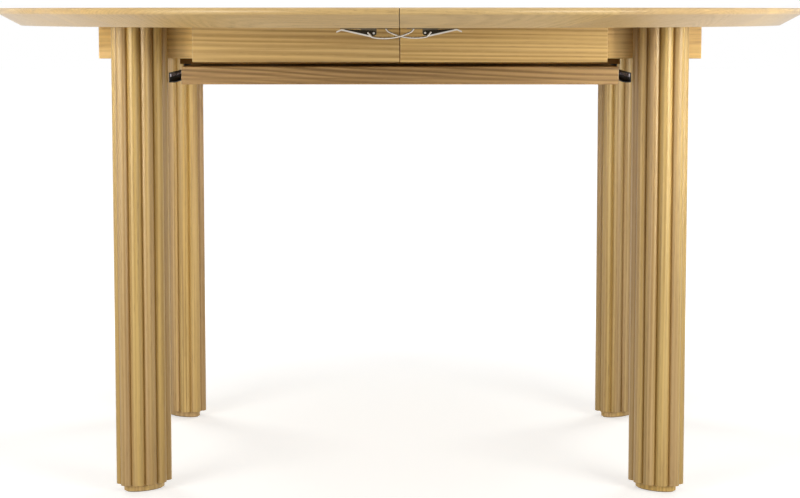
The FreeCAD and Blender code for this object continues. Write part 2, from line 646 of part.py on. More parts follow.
def bail_arm(sign):
    """One side of the bail: its end in the lever's cheek, its knee, and its curve to the upturned end."""
    end_y = sign * BAIL_END_WIDTH / 2
    arm_start = V(bail_pivot.x, sign * arm_y, bail_pivot.z)
    knee = V(pivot.x + KNEE_SETBACK, sign * arm_y, pivot.z - KNEE_DROP)
    hook_foot = V(-HOOK_START, end_y, under_z - HOOK_START_DROP)
    hook_end = V(-BAIL_REACH, end_y, under_z - BAIL_TIP_DROP)
    bend_share = (knee.x - BAIL_BEND) / (knee.x - hook_foot.x)
    bend_y = knee.y + bend_share * (hook_foot.y - knee.y)
    lowest = V(BAIL_BEND, bend_y, under_z - BAIL_SAG)
    parts = [
        rod(WIRE_RADIUS, V(bail_pivot.x, sign * cheek_inner_y, bail_pivot.z), arm_start),
        rod(WIRE_RADIUS, arm_start, knee),
        wire_arc(knee, lowest, hook_foot),
        rod(WIRE_RADIUS, hook_foot, hook_end),
    ]
    parts += [Part.makeSphere(WIRE_RADIUS, p) for p in (arm_start, knee, hook_foot, hook_end)]
    return parts


def latch_bail():
    """Wire loop from the lever's cheeks across the seam, bent up at its end to sit in the keeper."""
    end_z = under_z - BAIL_TIP_DROP
    half_end = BAIL_END_WIDTH / 2
    bar = rod(WIRE_RADIUS, V(-BAIL_REACH, -half_end, end_z), V(-BAIL_REACH, half_end, end_z))
    return bar.fuse(bail_arm(-1) + bail_arm(1)).removeSplitter()


def keeper():
    """Forked plate on the other half, open towards the seam; modelled at +X."""
    plate = box((KEEPER_START, KEEPER_START + KEEPER_LENGTH), (-half_base, half_base), latch_sheet_z)
    slot_span = (-KEEPER_SLOT / 2, KEEPER_SLOT / 2)
    slot = box((KEEPER_START, KEEPER_START + KEEPER_PRONG), slot_span, latch_sheet_z)
    return plate.cut([slot] + keeper_screws(0, FASTENER_CLEARANCE))


for side, sign in SIDES.items():
    base_y, keeper_y = latch_places[side]
    latch_pin = cross_rod(PIVOT_RADIUS, pivot, -pin_half, pin_half)
    pieces = {"base": latch_base(), "pin": latch_pin, "lever": latch_lever(), "bail": latch_bail()}
    for piece, shape in pieces.items():
        shape = to_side(shape, sign)
        shape.translate(V(0, base_y, 0))
        nodes["latch_%s_%s" % (piece, side)] = shape
    fork = to_side(keeper(), sign)
    fork.translate(V(0, keeper_y, 0))
    nodes["keeper_" + side] = fork
    screws = base_screws(base_y) + keeper_screws(keeper_y)
    nodes["latch_screws_" + side] = group([to_side(s, sign) for s in screws])

os.makedirs("parts", exist_ok=True)
for name, shape in nodes.items():
    shape.exportStep("parts/%s.step" % name)
    state = "valid" if shape.isValid() else "INVALID"
    print(name, len(shape.Solids), "solids", round(shape.Volume), "mm3", state)
print(len(nodes), "nodes")
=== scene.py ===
"""Looks of a round oak table that extends: grained oak, bright latches and dark steel slides."""
import math

import bpy
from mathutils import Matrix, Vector


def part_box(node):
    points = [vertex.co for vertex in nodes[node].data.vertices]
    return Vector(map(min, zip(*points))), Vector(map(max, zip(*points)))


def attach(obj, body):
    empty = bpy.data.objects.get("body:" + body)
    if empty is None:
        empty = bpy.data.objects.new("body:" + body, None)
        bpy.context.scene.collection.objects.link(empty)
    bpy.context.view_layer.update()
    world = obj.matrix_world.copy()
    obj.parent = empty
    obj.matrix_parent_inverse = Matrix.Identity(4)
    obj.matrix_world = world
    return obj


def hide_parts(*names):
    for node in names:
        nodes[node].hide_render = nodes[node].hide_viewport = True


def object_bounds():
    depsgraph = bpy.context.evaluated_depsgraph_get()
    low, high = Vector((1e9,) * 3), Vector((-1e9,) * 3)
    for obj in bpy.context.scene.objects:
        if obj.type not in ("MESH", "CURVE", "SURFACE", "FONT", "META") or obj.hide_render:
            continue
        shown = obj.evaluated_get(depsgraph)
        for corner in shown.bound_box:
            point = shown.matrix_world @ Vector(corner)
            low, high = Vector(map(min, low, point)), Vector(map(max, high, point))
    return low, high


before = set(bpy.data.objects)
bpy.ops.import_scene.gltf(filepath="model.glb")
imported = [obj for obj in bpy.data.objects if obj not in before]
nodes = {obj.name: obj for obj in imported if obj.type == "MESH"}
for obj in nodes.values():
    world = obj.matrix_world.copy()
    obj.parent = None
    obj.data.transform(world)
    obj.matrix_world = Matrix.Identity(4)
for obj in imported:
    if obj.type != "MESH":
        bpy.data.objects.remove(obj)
cad_low, cad_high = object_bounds()

# Sides and ends of the table, each with its sign along X or Y
SIDES = {"left": -1, "right": 1}
ENDS = {"front": -1, "back": 1}

# Camera, fitted to the photograph's frame
IMAGE_WIDTH = 800
CAMERA_PLACE = (0.0055, -3.047, 0.735)
CAMERA_TILT = 4.906       # degrees below level
CAMERA_YAW = 0.112        # degrees to the left, which keeps the seam in the middle
FOCAL_PIXELS = 1836.5
SENSOR_WIDTH = 36.0
LENS_SHIFT = -0.10

# Lamps, in metres and degrees. Those at the sides are given for the right and mirrored
KEY_LAMP = {"place": (1.35, -1.55, 0.74), "target": (0.38, -0.2, 0.45), "size": 1.0,
            "spread": 110.0}
CORNER_LAMP = {"place": (1.45, -1.35, 0.64), "target": (0.43, -0.27, 0.66), "size": 0.35,
               "spread": 22.0}
BACK_LAMP = {"place": (1.5, 1.5, 0.9), "target": (0.35, 0.2, 0.45), "size": 1.0,
             "spread": 110.0}
TOP_LAMP = {"place": (0.0, -0.3, 2.9), "target": (0.0, 0.0, 0.7), "size": 2.4}
KEY_POWER = {"left": 9.0, "right": 10.2}
CORNER_POWER = {"left": 0.18, "right": 0.27}
BACK_POWER = 8.0
TOP_LIGHT_POWER = 29.0
KEY_COLOUR = (1.0, 0.98, 0.87)
FILL_COLOUR = (1.0, 0.955, 0.955)
WHITE = (1.0, 1.0, 1.0)
AMBIENT = 0.15

# Floor
FLOOR_SIZE = 40.0
FLOOR_DROP = 0.0002                  # keeps the floor clear of the glides
FLOOR_BOUNCE = (0.57, 0.545, 0.480)  # what lights the wood from below
FLOOR_SEEN = (0.65, 0.66, 0.70)      # what the camera sees
NEAR_GLOW = 0.53
FAR_GLOW_ADDED = 0.45
GLOW_REACH = (0.7, 2.0)              # distances between which the glow rises

# Sockets of a Mix node that are for colours
MIX_COLOURS = (6, 7)
MIX_RESULT = 2

# How the pattern is turned so that the grain runs along its first axis
GRAIN_TURN = {
    "X": (0.0, 0.0, 0.0),
    "Y": (0.0, 0.0, -math.pi / 2),
    "Z": (0.0, math.pi / 2, 0.0),
}

# Tones of each board's oak: pale wood, golden wood and rosy wood
TOP_TONES = ((0.655, 0.465, 0.218), (0.615, 0.420, 0.178), (0.552, 0.390, 0.205))
APRON_TONES = ((0.660, 0.468, 0.212), (0.610, 0.412, 0.160), (0.540, 0.366, 0.165))
# The rails' tones are paler than the other boards': painted light, standing in for the light on
# the rails' ends
RAIL_LIT_TONES = ((0.770, 0.530, 0.235), (0.695, 0.450, 0.140), (0.615, 0.405, 0.155))
LEG_TONES = ((0.715, 0.508, 0.200), (0.635, 0.425, 0.138), (0.520, 0.352, 0.200))
# The leaf's tones are darker than the other boards': partly its own wood, partly painted shade on
# its edges, its level faces being lifted paler again
LEAF_TONES_EDGE_SHADED = ((0.525, 0.339, 0.145), (0.431, 0.260, 0.088), (0.379, 0.236, 0.099))
BEECH_TONES = ((0.600, 0.400, 0.220), (0.570, 0.370, 0.190), (0.520, 0.340, 0.190))
OAK_PORE = (0.130, 0.065, 0.022)
# Dark of a leg's grooves: partly stain, partly painted shade
GROOVE_STAIN_AND_SHADE = (0.270, 0.142, 0.018)
DARK_SHARE = (0.44, 0.37, 0.27)      # early wood, as a share of the golden wood
LEAF_DARK_SHARE = (0.30, 0.24, 0.15)

# What sets each board's wood apart, in metres and shares
TOP_WOOD = {"tones": TOP_TONES, "stave": 0.105, "ring": 0.0038, "heart": (0.0, -0.10),
            "figure": 0.014, "lines": 0.20, "vein_depth": 0.12, "gloss": 0.32}
APRON_WOOD = {"tones": APRON_TONES, "slope": 0.012, "lines": 0.80, "vein_depth": 0.42}
RAIL_WOOD = {"tones": RAIL_LIT_TONES, "lines": 0.32}
END_RAIL_WOOD = {"tones": RAIL_LIT_TONES}
LEG_WOOD = {"tones": LEG_TONES, "stave": 0.040, "ring": 0.005, "heart": (0.0, -0.12)}
FOOT_WOOD = {"tones": LEG_TONES}
LEAF_WOOD = {"tones": LEAF_TONES_EDGE_SHADED, "stave": 0.125, "ring": 0.007, "heart": (0.0, -0.16),
             "slope": 0.050, "figure": 0.030, "lines": 0.98, "vein_depth": 0.50,
             "dark_share": LEAF_DARK_SHARE, "calm_faces": 0.78}
DOWEL_WOOD = {"tones": BEECH_TONES, "ring": 0.003}
# Brightness of each side's aprons: painted light, the right side paler where more light falls
APRON_LIGHT_LEVELS = {"left": 0.94, "right": 1.04}
# Brightness of each leg: painted light and shade, for how each leg is lit
LEG_LIGHT_LEVELS = {"_front_left": 0.85, "_front_right": 0.85, "_back_left": 0.97, "_back_right": 0.78}
# How strongly a front or back leg's grooves take that stain and painted shade
LEG_GROOVES = {"front": 0.55, "back": 0.26}
LEG_VEINS = {"front": 0.30, "back": 0.42}

# Seeds, so that no two boards are alike
TOP_SEED = 11.0
TOP_SEED_STEP = 5
END_RAIL_SEED = 31.0
APRON_SEED = 40.0
RAIL_SEED = 50.0
LEG_SEED = 60.0
LEG_SEED_STEP = 3
FOOT_SEED = 80.0
LEAF_SEED = 95.0
DOWEL_SEED = 99.0
STAVE_SEED_STEP = 7.31

# Oak's patterns: noise per metre along, across and through the grain, what is added to the
# board's seed, the detail, and the levels between which the pattern sets in
OAK_PATTERNS = {
    "ring_fade": ((1.2, 26.0, 26.0), 5.0, 2.0, (0.22, 0.56)),
    "pores": ((42.0, 1500.0, 1500.0), 0.0, 1.0, (0.58, 0.70)),
    "fibres": ((9.0, 620.0, 620.0), 3.0, 2.0, None),
    "flecks": ((150.0, 420.0, 420.0), 6.0, 1.0, (0.60, 0.74)),
    "veins": ((3.2, 210.0, 210.0), 2.0, 3.0, (0.44, 0.66)),
    "drift": ((1.3, 16.0, 16.0), 8.0, 2.0, (0.36, 0.64)),
}
WANDER_SCALE = (1.5, 7.0, 7.0)
STREAK_SCALE = (0.9, 60.0, 60.0)
FINE_DETAIL = 3.0

# Growth rings: early wood through one ring, how uneven the rings are, and where hearts lie
RING_PROFILE = ((0.0, 0.65), (0.12, 1.0), (0.34, 0.72), (0.56, 0.14), (0.82, 0.0), (1.0, 0.65))
RING_UNEVENNESS = 0.45
WIDEST_HEART = 0.25
HEART_DEPTH_SHARE = 0.6

# Rosy wood: shares of the streaks and of the stave or rib, the levels between which it sets in,
# and its strength
STAVE_ROSE = (0.6, 0.4, (0.40, 0.66), 0.75)
RIB_ROSE = (0.78, 0.22, (0.36, 0.62), 0.80)

# How strongly oak's finer patterns show, in colour, gloss and relief
FIBRE_SHARE = 0.22
FLECK_SHARE = 0.10
PORE_SHARE = 0.55
PORES_IN_RINGS = (0.8, 0.25)         # what early wood adds, and what is there without it
LEVEL_FACE = (0.4, 0.9)              # normal's part along Z, from an edge to a level face
FACE_LIFT = 0.26                     # how much paler level faces are, where they are calmer; the darker edges keep painted shade
OAK_SPECULAR = 0.45
OAK_GLOSS_CHANGE = 0.16
TOP_ROUGHER = 0.28
TOP_ROUGH_DEPTH = 0.0012
FIBRE_RELIEF = 0.35
OAK_BUMP = (0.00025, 0.35)           # distance and strength

# Leg section at the crests of its ribs, and where each rib starts round half of it, with its level
LEG_PLACE = (0.395, 0.260)
LEG_TURN = math.atan2(LEG_PLACE[1], LEG_PLACE[0])
LEG_LONG = 0.089
LEG_SHORT = 0.061
RIB_STOPS = ((0.0, 0.15), (0.2285, 0.80), (0.4110, 0.35), (0.5890, 0.95), (0.7715, 0.55))
FAR_RIB_STEP = 0.45
LEG_RIB_STEP = 0.37
# Depths below the crests over which the grooves' stain and painted shade set in
GROOVE_DEPTHS = (0.0022, 0.0062)

# Steel: drawn lines, dull blotches, and ends across Y painted darker as shade
LINE_SEED = 1.0
BLOTCH_SEED = 4.0
BLOTCH_SCALE = (60.0, 60.0, 60.0)
BLOTCH_LEVELS = (0.35, 0.75)
STEEL_DULL = 0.55
STEEL_GLOSS_CHANGE = 0.22
STEEL_GLOSS_DROP = 0.08
STEEL_BUMP = (0.0001, 0.15)
END_SHADE_FACE = (0.6, 0.9)                # normal's part along Y, from a side to an end painted darker as shade

# The lever's strip rises from its heel to its lip, and its cheeks stand above it, painted dark as
# shade
STRIP_HEEL = (0.0391, 0.6994)
STRIP_RISE = 0.222
STRIP_SHEET = 0.0020
CHEEK_SHADE_EDGE = (STRIP_SHEET - 0.0003, STRIP_SHEET + 0.0005)
CHEEK_SHADE_END = 0.0762
LEVER_ROUGHNESS = 0.36
LEVER_GLOSS = (0.20, 0.26)           # change with the drawn lines, and the least roughness
LEVER_DULL = 0.70
LEVER_BLOTCHES = 0.5
LEVER_BLOTCH_SCALE = (90.0, 90.0, 90.0)
LEVER_LINE_SCALE = (60.0, 900.0, 900.0)

# Powder coat, plastic and felt
GRAIN_SEED = 2.0
PATCH_SEED = 6.0
PATCH_SCALE = (18.0, 18.0, 18.0)
GRAIN_SHARE = 0.5
PATCH_SHARE = 0.4
COAT_LIFT = (1.5, 0.004)             # pale grain: times the colour, and added to it
COAT_GLOSS_CHANGE = 0.2
COAT_BUMP_STRENGTH = 0.4

# Fasteners that show from below, in metres: leg bolts and the screws of the latches
BOLT_PLACE = (LEG_PLACE[0], 0.210)   # head's seat: across, and out from the middle
BOLT_HEIGHTS = (0.699, 0.677)
BOLT_HEAD = (0.0065, 0.0053)         # radius and height
BOLT_SHANK = (0.0040, 0.0520)
BOLT_CHAMFER = 0.0007
SOCKET_SIDES = 6
SOCKET_RADIUS = 0.0035
SOCKET_DEPTH = 0.0034
SCREW_HEAD = (0.0030, 0.0020)
SCREW_SHANK = (0.0016, 0.0120)
SCREW_CHAMFER = 0.0003
CROSS_SIZE = (0.0034, 0.0008)        # length and width of each arm
CROSS_DEPTH = 0.0012
LATCH_ROWS = {"left": -0.500, "right": -0.460}
BASE_SCREWS_X = (0.052, 0.072)
KEEPER_SCREW_X = 0.029
KEEPER_SCREWS_Y = (-0.006, 0.006)
TOP_UNDERSIDE_Z = 0.713              # screw heads hang below it, flush with the latches' sheet
ROUND_SIDES = 48
CHAMFER_STEPS = 2
FACES_ALONG = 0.9                    # least part of its normal for a face to look along an axis
SHARP_ANGLE = math.radians(30.0)


def add(tree, kind, inputs=None, **settings):
    """New shader node, its settings given and each input set to a value or joined to an output."""
    made = tree.nodes.new("ShaderNode" + kind)
    for name, value in settings.items():
        setattr(made, name, value)
    for name, value in (inputs or {}).items():
        if isinstance(value, bpy.types.NodeSocket):
            tree.links.new(value, made.inputs[name])
        else:
            made.inputs[name].default_value = value
    return made


def calc(tree, operation, first, second=0.0):
    return add(tree, "Math", {0: first, 1: second}, operation=operation).outputs[0]


def plus(tree, first, second):
    return calc(tree, "ADD", first, second)


def minus(tree, first, second):
    return calc(tree, "SUBTRACT", first, second)


def times(tree, first, second):
    return calc(tree, "MULTIPLY", first, second)


def multiply_add(tree, value, factor, offset):
    inputs = {0: value, 1: factor, 2: offset}
    return add(tree, "Math", inputs, operation="MULTIPLY_ADD").outputs[0]


def distance(tree, first, second):
    """How far a point lies from the origin of its plane."""
    squares = plus(tree, calc(tree, "POWER", first, 2.0), calc(tree, "POWER", second, 2.0))
    return calc(tree, "SQRT", squares)


def smooth_step(tree, value, low, high):
    """0 below the first value, 1 above the second."""
    inputs = {"Value": value, "From Min": low, "From Max": high}
    return add(tree, "MapRange", inputs, interpolation_type="SMOOTHSTEP").outputs["Result"]


def mix(tree, share, first, second):
    """Colour between two others."""
    made = add(tree, "Mix", {"Factor": share}, data_type="RGBA")
    for number, value in zip(MIX_COLOURS, (first, second)):
        socket = made.inputs[number]
        if isinstance(value, bpy.types.NodeSocket):
            tree.links.new(value, socket)
        else:
            socket.default_value = (*value, 1.0)
    return made.outputs[MIX_RESULT]


def ramp(tree, value, stops, blend="LINEAR"):
    """Grey level that follows the stops, each a place and a level."""
    made = add(tree, "ValToRGB", {"Fac": value})
    line = made.color_ramp
    line.interpolation = blend
    while len(line.elements) < len(stops):
        line.elements.new(0.5)
    for element, (place, level) in zip(line.elements, stops):
        element.position = place
        element.color = (level, level, level, 1.0)
    return made.outputs["Color"]


def stretched(tree, vector, scale, seed, detail=2.0):
    """Noise from 0 to 1, drawn out by its own scale along each axis."""
    sized = add(tree, "VectorMath", {0: vector, 1: scale}, operation="MULTIPLY").outputs[0]
    inputs = {"Vector": sized, "W": seed, "Scale": 1.0, "Detail": detail}
    return add(tree, "TexNoise", inputs, noise_dimensions="4D").outputs["Fac"]


def object_place(tree):
    return add(tree, "TexCoord").outputs["Object"]


def facing(tree, axis, levels):
    """1 on faces that look along an axis, either way, and 0 on those that look across it."""
    normal = add(tree, "TexCoord").outputs["Normal"]
    part = add(tree, "SeparateXYZ", {"Vector": normal}).outputs[axis]
    return smooth_step(tree, calc(tree, "ABSOLUTE", part), *levels)


def new_material(name, roughness, metallic=0.0, specular=0.5):
    material = bpy.data.materials.new(name)
    material.use_nodes = True
    tree = material.node_tree
    shader = tree.nodes["Principled BSDF"]
    shader.inputs["Roughness"].default_value = roughness
    shader.inputs["Metallic"].default_value = metallic
    shader.inputs["Specular IOR Level"].default_value = specular
    return material, tree, shader


def join_finish(tree, shader, tone, rough, relief, bump):
    """Joins a colour, a roughness and a relief to the shader."""
    tree.links.new(tone, shader.inputs["Base Color"])
    tree.links.new(rough, shader.inputs["Roughness"])
    inputs = {"Height": relief, "Distance": bump[0], "Strength": bump[1]}
    tree.links.new(add(tree, "Bump", inputs).outputs["Normal"], shader.inputs["Normal"])


def oak_pattern(tree, turned, seed, name):
    """One of oak's patterns, as noise or as a share where it sets in between two levels."""
    scale, seed_step, detail, levels = OAK_PATTERNS[name]
    noise = stretched(tree, turned, scale, seed + seed_step, detail)
    return smooth_step(tree, noise, *levels) if levels else noise


def growth_rings(tree, turned, seed, stave, ring, heart, slope, figure):
    """Early wood of the rings, from 0 to 1, with each glued stave's own seed and tone."""
    along, across, deep = add(tree, "SeparateXYZ", {"Vector": turned}).outputs
    number = calc(tree, "FLOOR", plus(tree, calc(tree, "DIVIDE", across, stave), 0.5))
    stave_seed = plus(tree, times(tree, number, STAVE_SEED_STEP), seed)
    chance = add(tree, "TexWhiteNoise", {"W": stave_seed}, noise_dimensions="1D")
    draws = add(tree, "SeparateColor", {"Color": chance.outputs["Color"]}).outputs

    # The rings lie round a heart, which each stave has at a place of its own
    spread = 2 * min(stave, WIDEST_HEART)
    heart_across = multiply_add(tree, minus(tree, draws[0], 0.5), spread, heart[0])
    drop = HEART_DEPTH_SHARE * heart[1]
    heart_down = multiply_add(tree, draws[1], drop, drop)
    from_middle = minus(tree, across, times(tree, number, stave))
    radius = distance(tree, minus(tree, from_middle, heart_across), minus(tree, deep, heart_down))

    # They are bent by a slow wander along the grain, and differ in width and strength
    wander = stretched(tree, turned, WANDER_SCALE, stave_seed)
    radius = plus(tree, radius, times(tree, wander, figure))
    radius = plus(tree, radius, times(tree, along, slope))
    rings = calc(tree, "DIVIDE", radius, ring)
    inputs = {"W": rings, "Scale": RING_UNEVENNESS, "Detail": 1.0}
    uneven = add(tree, "TexNoise", inputs, noise_dimensions="1D").outputs["Fac"]
    early = ramp(tree, calc(tree, "FRACT", plus(tree, rings, uneven)), RING_PROFILE)
    early = times(tree, early, oak_pattern(tree, turned, seed, "ring_fade"))
    return early, stave_seed, draws[2]


def leg_ribs(tree, centred, angle, seed):
    """Level from 0 to 1 that differs from rib to rib, and how deep a point lies in the grooves."""
    inputs = {"Vector": centred, "Rotation": (0.0, 0.0, -angle)}
    aligned = add(tree, "Mapping", inputs).outputs[0]
    axes = add(tree, "SeparateXYZ", {"Vector": aligned}).outputs
    x, y = axes["X"], axes["Y"]
    long_share = calc(tree, "DIVIDE", x, LEG_LONG / 2)
    short_share = calc(tree, "DIVIDE", y, LEG_SHORT / 2)
    turn = calc(tree, "ARCTAN2", short_share, long_share)
    half_turn = calc(tree, "DIVIDE", calc(tree, "ABSOLUTE", turn), math.pi)
    rib = ramp(tree, half_turn, RIB_STOPS, "CONSTANT")
    far_side = times(tree, calc(tree, "GREATER_THAN", y, 0.0), FAR_RIB_STEP)
    rib = plus(tree, plus(tree, rib, far_side), LEG_RIB_STEP * seed)
    reach = distance(tree, x, y)
    crest = calc(tree, "DIVIDE", reach, distance(tree, long_share, short_share))
    groove = smooth_step(tree, minus(tree, crest, reach), *GROOVE_DEPTHS)
    return calc(tree, "FRACT", rib), groove


def rosy_share(tree, streaks, own, weights):
    """How rosy the wood is, from its streaks and its stave's or rib's own level."""
    streak_weight, own_weight, levels, strength = weights
    rose = plus(tree, times(tree, streaks, streak_weight), times(tree, own, own_weight))
    return times(tree, smooth_step(tree, rose, *levels), strength)


def oak(name, origin, grain, seed, tones, stave=1.0, ring=0.006, heart=(0.03, -0.20), slope=0.004,
        figure=0.010, lines=0.45, vein_depth=0.30, dark_share=DARK_SHARE, gloss=0.42, level=1.0,
        leg_angle=None, groove_share=0.0, rough_above=None, calm_faces=0.0):
    """Lacquered oak: growth rings round a heart, glued staves or ribs, pores along the grain.

    stave and ring are widths, and heart is where the rings' middle lies, across and down. slope is
    how fast the rings run out along the grain, and figure how far they wander. lines, vein_depth
    and groove_share are how strongly the dark wood and a leg's grooves show; the grooves' darkness
    is partly stain and partly painted shade. calm_faces is how much less of the dark wood level
    faces have; those faces are also made paler, which leaves painted shade on the edges. level is
    the brightness of the tones, which on some boards is painted light or shade.
    """
    material, tree, shader = new_material(name, gloss, specular=OAK_SPECULAR)
    pale, gold, rosy = [tuple(level * part for part in tone) for tone in tones]
    dark = tuple(part * share for part, share in zip(gold, dark_share))
    place = object_place(tree)
    centred = add(tree, "VectorMath", {0: place, 1: origin}, operation="SUBTRACT").outputs[0]
    inputs = {"Vector": centred, "Rotation": GRAIN_TURN[grain]}
    turned = add(tree, "Mapping", inputs).outputs[0]

    shape = (stave, ring, heart, slope, figure)
    early, stave_seed, stave_tone = growth_rings(tree, turned, seed, *shape)
    pores = oak_pattern(tree, turned, seed, "pores")
    pores = times(tree, pores, multiply_add(tree, early, *PORES_IN_RINGS))
    fibres = oak_pattern(tree, turned, seed, "fibres")
    flecks = oak_pattern(tree, turned, seed, "flecks")
    veins = oak_pattern(tree, turned, seed, "veins")
    drift = oak_pattern(tree, turned, seed, "drift")
    streaks = stretched(tree, turned, STREAK_SCALE, stave_seed, FINE_DETAIL)

    # Level faces may be calmer than the edges, and paler, so that the edges keep a darker tone as
    # painted shade
    if calm_faces:
        flat = facing(tree, "Z", LEVEL_FACE)
        calm = multiply_add(tree, flat, -calm_faces, 1.0)
        early = times(tree, early, calm)
        veins = times(tree, veins, calm)

    # Colour, from the slow changes of tone to the pores and a leg's grooves, which are darkened
    # partly by stain and partly by painted shade
    layers = [(early, lines, dark), (veins, vein_depth, dark), (fibres, FIBRE_SHARE, dark),
              (flecks, FLECK_SHARE, pale), (pores, PORE_SHARE, OAK_PORE)]
    if leg_angle is None:
        rose = rosy_share(tree, streaks, stave_tone, STAVE_ROSE)
    else:
        rib, groove = leg_ribs(tree, centred, leg_angle, seed)
        rose = rosy_share(tree, streaks, rib, RIB_ROSE)
        # Stain and painted shade in the grooves
        layers.append((groove, groove_share, GROOVE_STAIN_AND_SHADE))
    tone = mix(tree, rose, mix(tree, drift, pale, gold), rosy)
    for pattern, strength, colour in layers:
        tone = mix(tree, times(tree, pattern, strength), tone, colour)
    # Level faces are made paler; the darker edges are painted shade
    if calm_faces:
        paler = multiply_add(tree, flat, FACE_LIFT, 1.0)
        tone = add(tree, "VectorMath", {0: tone, "Scale": paler}, operation="SCALE").outputs[0]

    # Gloss, less of it on a top's upper face, and relief
    rough = multiply_add(tree, fibres, OAK_GLOSS_CHANGE, gloss - OAK_GLOSS_CHANGE / 2)
    if rough_above is not None:
        height = add(tree, "SeparateXYZ", {"Vector": place}).outputs["Z"]
        upper = smooth_step(tree, height, rough_above, cad_high.z)
        rough = plus(tree, rough, times(tree, upper, TOP_ROUGHER))
    relief = minus(tree, times(tree, fibres, FIBRE_RELIEF), pores)
    join_finish(tree, shader, tone, rough, relief, OAK_BUMP)
    return material


def steel(name, colour, roughness, line_scale, grime, shaded_ends=None):
    """Bare or plated steel, finely drawn and a little dull. Its ends that face along Y may be
    painted darker, as shade.
    """
    material, tree, shader = new_material(name, roughness, metallic=1.0)
    place = object_place(tree)
    lines = stretched(tree, place, line_scale, LINE_SEED, FINE_DETAIL)
    blotches = stretched(tree, place, BLOTCH_SCALE, BLOTCH_SEED, FINE_DETAIL)
    share = times(tree, smooth_step(tree, blotches, *BLOTCH_LEVELS), grime)
    dull = tuple(STEEL_DULL * part for part in colour)
    tone = mix(tree, share, colour, dull)
    # Ends that face along Y get a darker colour: painted shade
    if shaded_ends is not None:
        tone = mix(tree, facing(tree, "Y", END_SHADE_FACE), tone, shaded_ends)
    rough = multiply_add(tree, lines, STEEL_GLOSS_CHANGE, roughness - STEEL_GLOSS_DROP)
    join_finish(tree, shader, tone, rough, lines, STEEL_BUMP)
    return material


def worn_lever_painted_shade(name, bright, dark):
    """Plated strip with dull blotches, and cheeks painted dark as shade."""
    material, tree, shader = new_material(name, LEVER_ROUGHNESS, metallic=1.0)
    place = object_place(tree)
    axes = add(tree, "SeparateXYZ", {"Vector": place}).outputs
    out = calc(tree, "ABSOLUTE", axes["X"])
    strip = multiply_add(tree, out, STRIP_RISE, STRIP_HEEL[1] - STRIP_RISE * STRIP_HEEL[0])
    cheek_shade = smooth_step(tree, minus(tree, axes["Z"], strip), *CHEEK_SHADE_EDGE)
    cheek_shade = times(tree, cheek_shade, calc(tree, "LESS_THAN", out, CHEEK_SHADE_END))
    blotches = stretched(tree, place, LEVER_BLOTCH_SCALE, BLOTCH_SEED, FINE_DETAIL)
    lines = stretched(tree, place, LEVER_LINE_SCALE, LINE_SEED, FINE_DETAIL)
    dull = tuple(LEVER_DULL * part for part in bright)
    plated = mix(tree, times(tree, blotches, LEVER_BLOTCHES), bright, dull)
    # The cheeks take the dark colour: painted shade
    tone = mix(tree, cheek_shade, plated, dark)
    rough = multiply_add(tree, lines, *LEVER_GLOSS)
    join_finish(tree, shader, tone, rough, lines, STEEL_BUMP)
    return material


def coated(name, colour, roughness, grain_scale, bump, specular=0.4):
    """Powder coat, moulded plastic or felt: one colour broken by a fine grain."""
    material, tree, shader = new_material(name, roughness, specular=specular)
    place = object_place(tree)
    grain = stretched(tree, place, (grain_scale,) * 3, GRAIN_SEED, FINE_DETAIL)
    patches = stretched(tree, place, PATCH_SCALE, PATCH_SEED)
    share = plus(tree, times(tree, grain, GRAIN_SHARE), times(tree, patches, PATCH_SHARE))
    pale = tuple(COAT_LIFT[0] * part + COAT_LIFT[1] for part in colour)
    tone = mix(tree, share, colour, pale)
    rough = multiply_add(tree, grain, COAT_GLOSS_CHANGE, roughness - COAT_GLOSS_CHANGE / 2)
    join_finish(tree, shader, tone, rough, grain, (bump, COAT_BUMP_STRENGTH))
    return material


def dress(piece, material):
    """Gives a piece one material all over."""
    piece.data.materials.clear()
    piece.data.materials.append(material)


def middle(node):
    low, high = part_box(node)
    return (low + high) / 2


def board(node, grain, seed, **wood):
    """Oak of a node's own, its pattern centred on the node."""
    dress(nodes[node], oak("oak_" + node, middle(node), grain, seed, **wood))


# Wooden pieces
for number, side in enumerate(SIDES):
    top = "top_" + side
    top_oak = oak("oak_" + top, (0.0, 0.0, middle(top).z), "X", TOP_SEED + TOP_SEED_STEP * number,
                  rough_above=cad_high.z - TOP_ROUGH_DEPTH, **TOP_WOOD)
    dress(nodes[top], top_oak)
    board("end_rail_" + side, "Y", END_RAIL_SEED + number, **END_RAIL_WOOD)
    for turn, end in enumerate(ENDS):
        corner = "_%s_%s" % (end, side)
        seed = 2.0 * number + turn
        board("apron" + corner, "X", APRON_SEED + seed, level=APRON_LIGHT_LEVELS[side], **APRON_WOOD)
        board("rail" + corner, "X", RAIL_SEED + seed, **RAIL_WOOD)
        leg_angle = LEG_TURN if corner in ("_front_left", "_back_right") else -LEG_TURN
        board("leg" + corner, "Z", LEG_SEED + LEG_SEED_STEP * seed, level=LEG_LIGHT_LEVELS[corner],
              leg_angle=leg_angle, groove_share=LEG_GROOVES[end], vein_depth=LEG_VEINS[end],
              **LEG_WOOD)
        board("foot" + corner, "Z", FOOT_SEED + seed, **FOOT_WOOD)
board("leaf", "X", LEAF_SEED, **LEAF_WOOD)
beech = oak("beech_dowels", middle("seam_dowels"), "X", DOWEL_SEED, **DOWEL_WOOD)
dress(nodes["seam_dowels"], beech)

